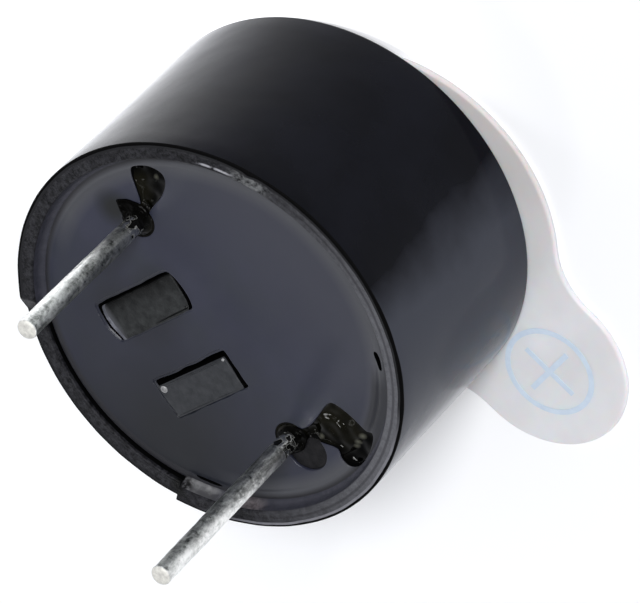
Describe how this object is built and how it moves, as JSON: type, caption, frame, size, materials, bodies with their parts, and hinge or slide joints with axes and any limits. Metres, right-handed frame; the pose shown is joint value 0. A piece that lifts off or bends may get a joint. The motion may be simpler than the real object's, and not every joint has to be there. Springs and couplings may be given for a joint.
{
  "type": "magnetic buzzer",
  "caption": "Small round magnetic buzzer in a black case with two straight leads, a recessed base cover and a pull-off wash seal over the sound hole.",
  "frame": {"origin": "on the axis of the case, at the outer face of the wash seal on which the buzzer stands", "axes": "+Z along the axis of the case towards the leads, +X towards the positive lead"},
  "size_m": [0.0151, 0.0126, 0.0137],
  "materials": {
    "case_plastic": "satin black moulded plastic",
    "cover_plastic": "smooth satin slate-grey moulded plastic",
    "seal_film": "slightly translucent white film",
    "print_ink": "pale blue ink",
    "spring_steel": "bright rolled strip",
    "iron": "plain pressed iron",
    "ring_plastic": "natural moulded plastic",
    "ferrite": "dark sintered ferrite",
    "bobbin_plastic": "natural moulded plastic",
    "copper_wire": "enamelled copper wire",
    "board": "green coated laminate",
    "component_black": "moulded epoxy",
    "tinned_metal": "tin plated",
    "resistor_ceramic": "glazed black top",
    "lead_wire": "tinned, with fine drawn streaks",
    "solder": "bright solder",
    "sealant": "glossy dark sealant"
  },
  "bodies": {
    "root": {"case": "case_plastic", "base_cover": "cover_plastic", "seal": "seal_film", "polarity_print": "print_ink", "diaphragm": "spring_steel", "armature_disc": "iron", "support_ring": "ring_plastic", "ring_magnet": "ferrite", "yoke_plate": "iron", "core": "iron", "bobbin": "bobbin_plastic", "coil_winding": "copper_wire", "coil_end_wires": "copper_wire", "circuit_board": "board", "transistor_body": "component_black", "transistor_legs": "tinned_metal", "diode_body": "component_black", "diode_legs": "tinned_metal", "resistor_body": "resistor_ceramic", "resistor_caps": "tinned_metal", "lead_positive": "lead_wire", "lead_negative": "lead_wire", "solder_positive": "solder", "solder_negative": "solder", "solder_coil_ends": "solder", "sealant_positive": "sealant", "sealant_negative": "sealant"}
  },
  "joints": []
}
